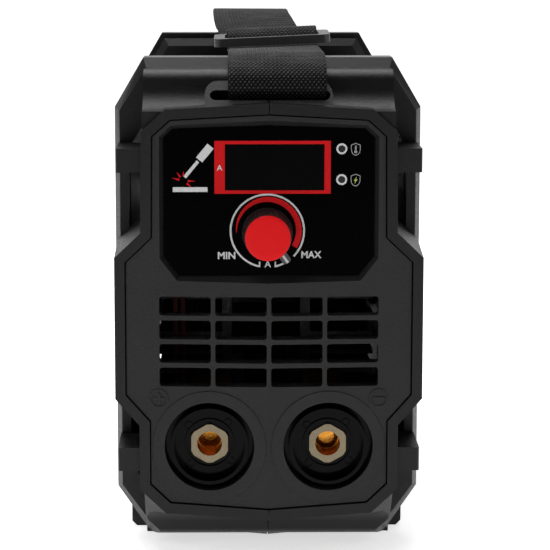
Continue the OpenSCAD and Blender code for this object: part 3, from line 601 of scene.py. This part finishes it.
def make_print():
    white, red = MATS["mark_white"], MATS["red_ink"]
    frame_piece("display_border", (-20.4, 23.1, 141.5, 161.4), (-16.5, 20.75, 142.75, 160.15),
                red)
    lettering("ampere_mark", "A", -18.45, 151.3, 2.1, PRINT - 0.02)
    lettering("dial_ampere_mark", "A", -0.4, 114.8, 2.5, PRINT)
    lettering("dial_min", "MIN", -15.9, 118.1, 2.7, PRINT, width=6.6, bold=0.1)
    lettering("dial_max", "MAX", 16.0, 118.4, 2.7, PRINT, width=7.6, bold=0.1)
    ring_inner, ring_outer = 13.45, 14.15
    bm = bmesh.new()
    for start, stop in ((13.0, 314.0), (332.5, 346.5)):
        steps = max(4, round((stop - start) / 3))
        band(bm, arc(*DIAL, ring_inner, start, stop, steps), arc(*DIAL, ring_outer, start, stop, steps),
             PRINT, UNDER)
    for angle in (13.0, 346.5):
        x, z = polar(*DIAL, ring_outer, angle)
        s = 1 if angle < 90 else -1
        prism(bm, [(x, z), (x, z + 2.1), (x + s * 0.55, z + 2.1), (x + s * 0.55, z)], PRINT - 0.01, UNDER)
    on(mesh_object("dial_ring", bm, [white]), "case")
    bm = bmesh.new()
    outer = arc(*DIAL, lambda t: 11.6 + 1.35 * min(1.0, t / 0.42) ** 0.8, 86, 300.5, 72)
    inner = arc(*DIAL, lambda t: 11.5 - 0.8 * t ** 0.6, 86, 300.5, 72)
    band(bm, inner, outer, PRINT, UNDER)
    on(mesh_object("dial_wedge", bm, [red]), "case")
    bm = bmesh.new()
    for z in (158.4, 146.8):
        band(bm, arc(27.2, z, 1.35, 0, 360, 40)[:-1], arc(27.2, z, 2.05, 0, 360, 40)[:-1],
             PRINT, UNDER, closed=True)
    on(mesh_object("lamp_rings", bm, [white]), "case")
    make_icons()


def shield(cx, cz, w, h):
    """Outline of a small shield."""
    out = [(cx - w / 2, cz + h * 0.36), (cx, cz + h / 2), (cx + w / 2, cz + h * 0.36), (cx + w / 2, cz)]
    out += [(cx + w / 2 * math.cos(a), cz - h / 2 * math.sin(a))
            for a in [math.radians(t) for t in (25, 50, 72)]]
    out += [(cx, cz - h / 2)]
    out += [(cx - w / 2 * math.cos(a), cz - h / 2 * math.sin(a))
            for a in [math.radians(t) for t in (72, 50, 25)]]
    out += [(cx - w / 2, cz)]
    return out


def make_icons():
    """The two small shields beside the lamps, and the pictogram of a stick electrode at work."""
    x = 32.4
    for name, z in (("thermal_icon", 158.2), ("fault_icon", 146.6)):
        bm = bmesh.new()
        band(bm, shield(x, z, 3.1, 4.15), shield(x, z, 3.6, 4.7), PRINT, UNDER, closed=True)
        if name == "thermal_icon":
            prism(bm, [(x - 0.3, z + 1.3), (x + 0.3, z + 1.3), (x + 0.3, z - 0.6), (x - 0.3, z - 0.6)],
                  PRINT, UNDER)
            prism(bm, [polar(x, z - 0.9, 0.6, a) for a in range(0, 360, 30)], PRINT, UNDER)
        else:
            bolt = bmesh.new()
            prism(bolt, [(x + 0.5, z + 1.3), (x - 0.7, z - 0.2), (x - 0.05, z - 0.2), (x - 0.4, z - 1.4),
                         (x + 0.75, z + 0.25), (x + 0.1, z + 0.25)], PRINT, UNDER)
            on(mesh_object("fault_bolt", bolt, [MATS["green_ink"]]), "case")
        on(mesh_object(name, bm, [MATS["mark_grey"]]), "case")
    # Pictogram of a stick electrode over a workpiece, with sparks
    bm = bmesh.new()
    along = Vector((0.64, 0.77))
    side = Vector((along.y, -along.x))
    tip = Vector((-31.8, 147.4))

    def slab(start, stop, half):
        a, b = tip + along * start, tip + along * stop
        return [tuple(p) for p in (a - side * half, a + side * half, b + side * half, b - side * half)]

    prism(bm, slab(0.4, 8.2, 0.62), PRINT, UNDER)
    prism(bm, slab(8.9, 15.6, 1.5), PRINT, UNDER)
    prism(bm, [(-36, 142.2), (-23, 142.2), (-23, 144), (-36, 144)], PRINT, UNDER)
    on(mesh_object("welding_mark", bm, [MATS["mark_white"]]), "case")
    bm = bmesh.new()
    for angle, r0, r1 in ((-76, 1.6, 4.6), (-38, 1.8, 4.2), (0, 1.9, 3.7),
                          (128, 1.6, 4.0), (92, 1.6, 4.6)):
        a = math.radians(angle)
        d = Vector((math.sin(a), math.cos(a)))
        s = Vector((d.y, -d.x)) * 0.42
        c = tip + Vector((-0.2, -1.0))
        prism(bm, [tuple(c + d * r0 - s), tuple(c + d * r0 + s), tuple(c + d * r1)], PRINT, UNDER)
    on(mesh_object("spark_mark", bm, [MATS["red_ink"]]), "case")


# ---------------------------------------------------------------- dial
def make_dial():
    """The knurled grip with its pointer, and the red cap in front of it."""
    teeth, per = 62, 4          # teeth round the grip, and mesh steps in each
    bm = bmesh.new()

    def knurl(r, d, k):
        """Only the side of the grip is cut, not its nose nor its flange."""
        if r < 8.7 or d > 0.9:
            return r
        wave = 0.5 + 0.5 * math.cos(TAU * (k % per) / per)
        return r - 0.34 * (1 - wave)

    profile = [(0, -11.7), (8.2, -11.7), (8.6, -11.65), (8.75, -11.3), (8.85, -9.0), (8.95, -6.5),
               (9.05, -4.0), (9.1, -2.0), (9.2, 0.2), (9.3, 0.5), (9.55, 0.95), (9.6, 1.4), (9.5, 1.75),
               (6.9, 1.8), (6.8, 1.75), (6.8, -2.4), (0, -2.4)]
    lathe(bm, DIAL_AXIS, profile, teeth * per, knurl)
    knob = mesh_object("dial_grip", bm, [MATS["knob_black"]], sharp=50)
    on(knob, "dial")
    bm = bmesh.new()
    turn = math.radians(35)     # from straight down, towards MAX
    down = Vector((math.sin(turn), -math.cos(turn)))
    side = Vector((-down.y, down.x))
    c = Vector(DIAL_AXIS)
    outline = [c + side * s + down * r for s, r in
               ((-1.55, 8.6), (-1.7, 12.9), (-1.35, 13.4), (1.35, 13.4), (1.7, 12.9), (1.55, 8.6))]
    prism(bm, [tuple(p) for p in outline], -0.7, 1.1)
    bmesh.ops.bevel(bm, geom=list(bm.edges), offset=0.00018, segments=2, affect="EDGES")
    pointer = mesh_object("dial_pointer", bm, [MATS["pointer_grey"]], sharp=35)
    on(pointer, "dial")
    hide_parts("current_knob")
    bm = bmesh.new()
    profile = [(0, -12.9), (3.2, -12.89), (6.0, -12.86), (7.5, -12.8), (8.05, -12.7), (8.33, -12.48),
               (8.44, -12.2), (8.44, -11.75), (8.2, -11.6), (0, -11.6)]
    lathe(bm, DIAL_AXIS, profile, 160)
    cap = mesh_object("dial_cap", bm, [MATS["knob_red"]], sharp=60)
    on(cap, "dial")
    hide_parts("knob_cap")


# ---------------------------------------------------------------- materials of the part
def make_materials():
    """One material for each slot of the record, and those that only the print and contacts use."""
    return {
        "housing_plastic": moulded("housing_plastic", (0.0042, 0.0042, 0.0043), 0.36, depth=0.0001,
                                   specular=0.24, vary=0.25, fine=2600),
        "panel_plastic": moulded("panel_plastic", (0.0105, 0.0105, 0.0106), 0.46, depth=0.00016,
                                 specular=0.26, vary=0.3, fine=2400),
        "gloss_black": gloss("gloss_black", (0.0003, 0.0003, 0.0003), 0.22, specular=0.015),
        "smoked_window": gloss("smoked_window", (0.0008, 0.0007, 0.0007), 0.2, specular=0.03),
        "light_pipe": gloss("light_pipe", (0.005, 0.006, 0.006), 0.2, specular=0.3),
        "knob_black": moulded("knob_black", (0.008, 0.008, 0.0082), 0.42, specular=0.35),
        "pointer_grey": moulded("pointer_grey", (0.05, 0.05, 0.052), 0.45),
        "knob_red": gloss("knob_red", (0.62, 0.007, 0.009), 0.42, specular=0.1, vary=0.05),
        "mark_white": printed("mark_white", (0.55, 0.55, 0.55)),
        "mark_grey": printed("mark_grey", (0.3, 0.3, 0.3)),
        "red_ink": printed("red_ink", (0.52, 0.008, 0.01)),
        "green_ink": printed("green_ink", (0.42, 0.5, 0.12)),
        "socket_plastic": gloss("socket_plastic", (0.0004, 0.0004, 0.0004), 0.16, specular=0.07),
        "contact_brass": metal("contact_brass", (0.62, 0.27, 0.04), 0.24, stretch=(1, 6, 1), depth=0.00004),
        "plated_brass": metal("plated_brass", (0.2, 0.165, 0.11), 0.36, scale=1400, depth=0.00004),
        "copper_bar": metal("copper_bar", (0.72, 0.36, 0.2), 0.35, stretch=(1, 0.1, 1)),
        "webbing": woven("webbing"),
        "buckle_plastic": moulded("buckle_plastic", (0.03, 0.03, 0.0305), 0.4, specular=0.4),
        "steel_bright": metal("steel_bright", (0.55, 0.55, 0.56), 0.32),
        "foot_rubber": rubber("foot_rubber", (0.006, 0.006, 0.006)),
        "board_green": laminate("board_green", (0.002, 0.014, 0.005)),
        "heatsink_alu": metal("heatsink_alu", (0.05, 0.05, 0.052), 0.5, stretch=(1, 0.05, 1)),
        "package_black": moulded("package_black", (0.012, 0.012, 0.012), 0.5),
        "ferrite": moulded("ferrite", (0.045, 0.045, 0.05), 0.6),
        "winding": gloss("winding", (0.1, 0.05, 0.004), 0.35, vary=0.25),
        "can_blue": gloss("can_blue", (0.015, 0.025, 0.11), 0.3),
        "relay_blue": gloss("relay_blue", (0.02, 0.05, 0.32), 0.3),
        # painted shade: the red lead is coloured almost black so that, seen through the vents, it blends
        # into the shade inside the case
        "lead_red": rubber("lead_red", (0.04, 0.0015, 0.0015)),
        "fan_plastic": moulded("fan_plastic", (0.008, 0.008, 0.008), 0.45),
        "switch_black": gloss("switch_black", (0.006, 0.006, 0.006), 0.25),
        "rocker_red": gloss("rocker_red", (0.45, 0.009, 0.012), 0.3),
        "tin_brass": metal("tin_brass", (0.62, 0.55, 0.4), 0.4),
        "gland_plastic": moulded("gland_plastic", (0.012, 0.012, 0.0125), 0.5),
        "seal_rubber": rubber("seal_rubber", (0.004, 0.004, 0.004)),
    }


def dress_nodes():
    """Each CAD node that still shows takes the material of its own slot."""
    for row in frame["record"]["subparts"]:
        obj = nodes[row["node"]]
        obj.data.materials.clear()
        obj.data.materials.append(MATS[row["material_slot"]])


make_camera()
MATS = make_materials()
make_studio()
dress_nodes()
make_print()
make_dial()
for side in ("left", "right"):
    refined(side + "_shell", side + "_shell_body", MATS["housing_plastic"], 0.45)
for end in ("front", "rear"):
    refined(end + "_panel", end + "_panel_body", MATS["panel_plastic"], 0.3)
refined("rubber_feet", "feet", MATS["foot_rubber"], 0.8, 3)
refined("strap_slider", "buckle", MATS["buckle_plastic"], 0.7, 3)
for sign, socket_x in (("positive", -22.5), ("negative", 22.5)):
    refined(sign + "_socket_body", sign + "_socket_shell", MATS["socket_plastic"], 0.22)
    refined(sign + "_socket_contact", sign + "_contact", MATS["contact_brass"], 0.16,
            outer=(socket_x, 45.3, 5.2, MATS["plated_brass"]))

strap, strap_length = make_strap()
